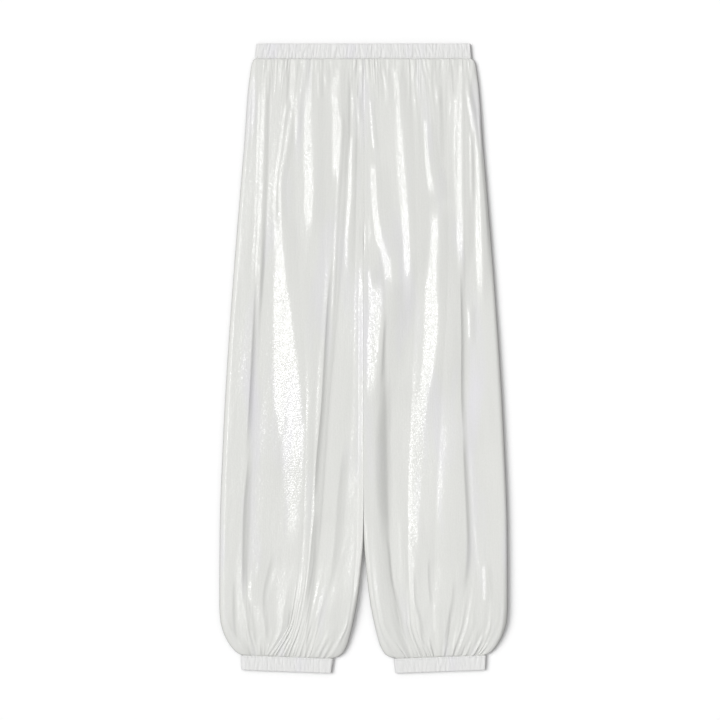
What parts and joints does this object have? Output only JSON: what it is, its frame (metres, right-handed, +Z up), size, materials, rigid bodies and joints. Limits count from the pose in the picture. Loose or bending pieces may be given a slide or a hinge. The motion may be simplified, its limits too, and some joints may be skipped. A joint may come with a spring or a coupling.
{
  "type": "satin balloon-leg trousers, laid flat",
  "caption": "Full-length balloon trousers of shiny satin lying flat, with a gathered elastic waistband and full legs drawn into elastic ankle cuffs.",
  "frame": {"origin": "on the table under the middle of the garment's outline", "axes": "+X to the wearer's left, +Y up the garment to the waist, +Z up from the table through the front"},
  "size_m": [0.462, 1.009, 0.0179],
  "materials": {
    "satin": "white wet-look polyester satin, finely crinkled",
    "satin_casing": "the same satin, gathered over flat elastic"
  },
  "bodies": {
    "root": {"waistband": "satin_casing", "right_front_leg": "satin", "left_front_leg": "satin", "right_back_leg": "satin", "left_back_leg": "satin", "right_cuff": "satin_casing", "left_cuff": "satin_casing"}
  },
  "joints": []
}
